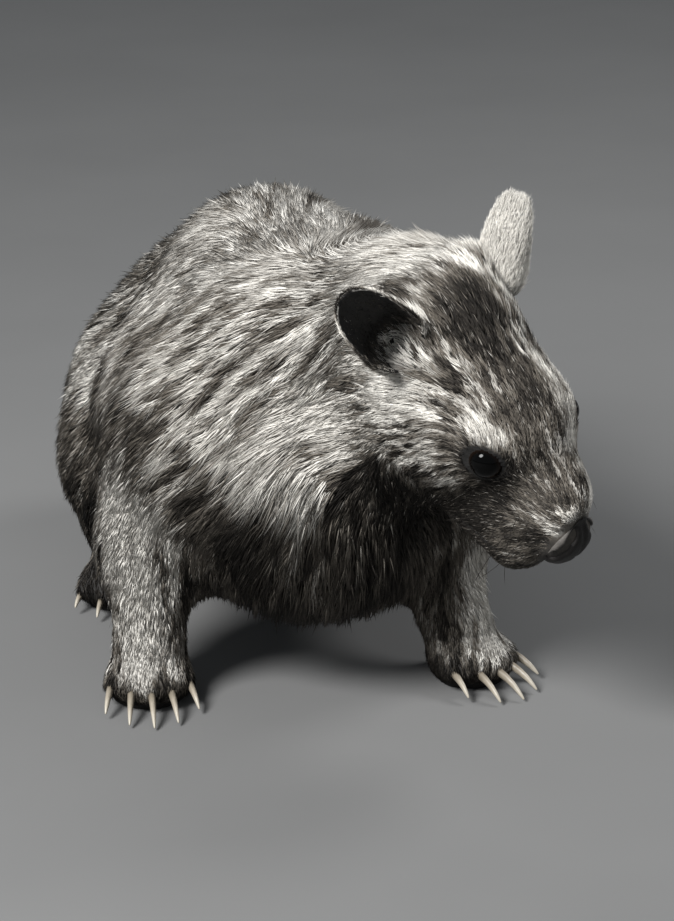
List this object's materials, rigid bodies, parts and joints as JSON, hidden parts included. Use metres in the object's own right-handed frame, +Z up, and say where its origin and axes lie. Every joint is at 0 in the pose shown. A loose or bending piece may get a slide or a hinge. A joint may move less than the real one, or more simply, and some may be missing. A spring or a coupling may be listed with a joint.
{
  "type": "standing wombat figure",
  "caption": "Life-size still model of a standing wombat, head lowered and turned to its left, with upright ears, short sturdy legs and long curved claws; it rests on its soles.",
  "frame": {"origin": "on the floor, under the middle of the whole animal's outer box", "axes": "+Z up, -Y the way the body faces, +X the animal's left side; the length runs along Y"},
  "size_m": [0.3446, 0.6016, 0.3899],
  "materials": {
    "coat_back": "short grey-brown coat, mottled with silvery tips",
    "coat_head": "short mottled face coat, grey-brown with pale patches",
    "coat_pale": "pale silvery coat of the nape and the ears",
    "coat_leg": "short coat of the legs, paler outside than inside",
    "coat_foot": "very short dark coat of the feet",
    "claw": "worn ivory-coloured horn, half gloss",
    "eye": "wet, near black, high gloss",
    "nose_leather": "dark granular nose skin, half matt"
  },
  "bodies": {
    "root": {"ear_right": "coat_pale", "eye_right": "eye", "ear_left": "coat_pale", "eye_left": "eye", "nose": "nose_leather", "head": "coat_head", "neck": "coat_pale", "torso": "coat_back", "tail": "coat_back", "foreleg_right": "coat_leg", "hindleg_right": "coat_leg", "foreleg_left": "coat_leg", "hindleg_left": "coat_leg", "forefoot_right": "coat_foot", "claw_forefoot_right_1": "claw", "claw_forefoot_right_2": "claw", "claw_forefoot_right_3": "claw", "claw_forefoot_right_4": "claw", "claw_forefoot_right_5": "claw", "hindfoot_right": "coat_foot", "claw_hindfoot_right_1": "claw", "claw_hindfoot_right_2": "claw", "claw_hindfoot_right_3": "claw", "claw_hindfoot_right_4": "claw", "forefoot_left": "coat_foot", "claw_forefoot_left_1": "claw", "claw_forefoot_left_2": "claw", "claw_forefoot_left_3": "claw", "claw_forefoot_left_4": "claw", "claw_forefoot_left_5": "claw", "hindfoot_left": "coat_foot", "claw_hindfoot_left_1": "claw", "claw_hindfoot_left_2": "claw", "claw_hindfoot_left_3": "claw", "claw_hindfoot_left_4": "claw"}
  },
  "joints": []
}
